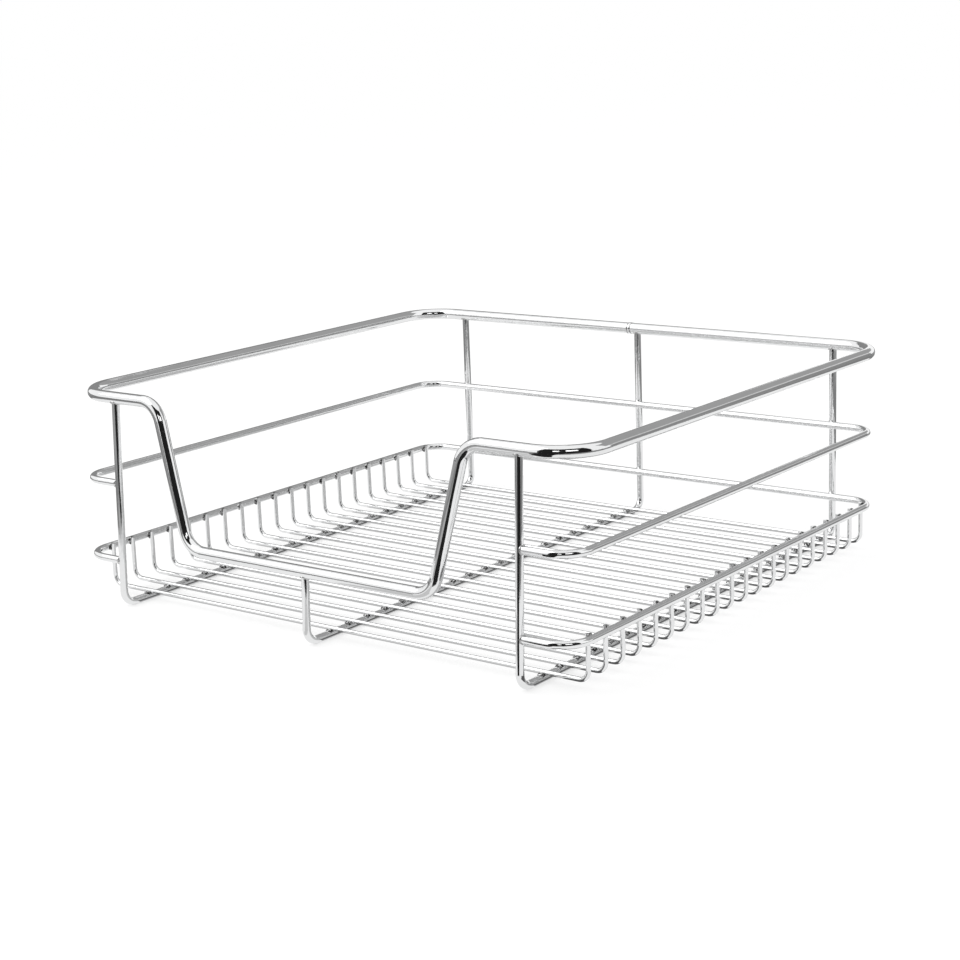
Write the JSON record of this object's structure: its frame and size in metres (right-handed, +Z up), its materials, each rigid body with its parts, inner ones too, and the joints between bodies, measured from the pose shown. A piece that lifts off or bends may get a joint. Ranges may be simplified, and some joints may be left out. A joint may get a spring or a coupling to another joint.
{
  "type": "pull out cabinet basket",
  "caption": "Welded chrome wire basket for a cabinet: bent top rail with a dipped front handle, two side rails, U-shaped frames and a floor of thin cross wires.",
  "frame": {"origin": "middle of the footprint, on the surface that the basket stands on", "axes": "+X to the right across the basket's width, +Y from the dipped front to the back, +Z up"},
  "size_m": [0.41, 0.3884, 0.1453],
  "materials": {
    "top_rail": "bright chrome plate on heavy wire",
    "side_rails": "bright chrome plate on wire",
    "frames": "chrome plate, a little dull at the welds",
    "cross_wires": "chrome plate on thin wire"
  },
  "bodies": {
    "root": {"top_rail": "top_rail", "middle_rail": "side_rails", "lower_rail": "side_rails", "frame_left": "frames", "frame_center": "frames", "frame_right": "frames", "cross_wire_01": "cross_wires", "cross_wire_02": "cross_wires", "cross_wire_03": "cross_wires", "cross_wire_04": "cross_wires", "cross_wire_05": "cross_wires", "cross_wire_06": "cross_wires", "cross_wire_07": "cross_wires", "cross_wire_08": "cross_wires", "cross_wire_09": "cross_wires", "cross_wire_10": "cross_wires", "cross_wire_11": "cross_wires", "cross_wire_12": "cross_wires", "cross_wire_13": "cross_wires", "cross_wire_14": "cross_wires", "cross_wire_15": "cross_wires", "cross_wire_16": "cross_wires", "cross_wire_17": "cross_wires", "cross_wire_18": "cross_wires", "cross_wire_19": "cross_wires", "cross_wire_20": "cross_wires"}
  },
  "joints": []
}
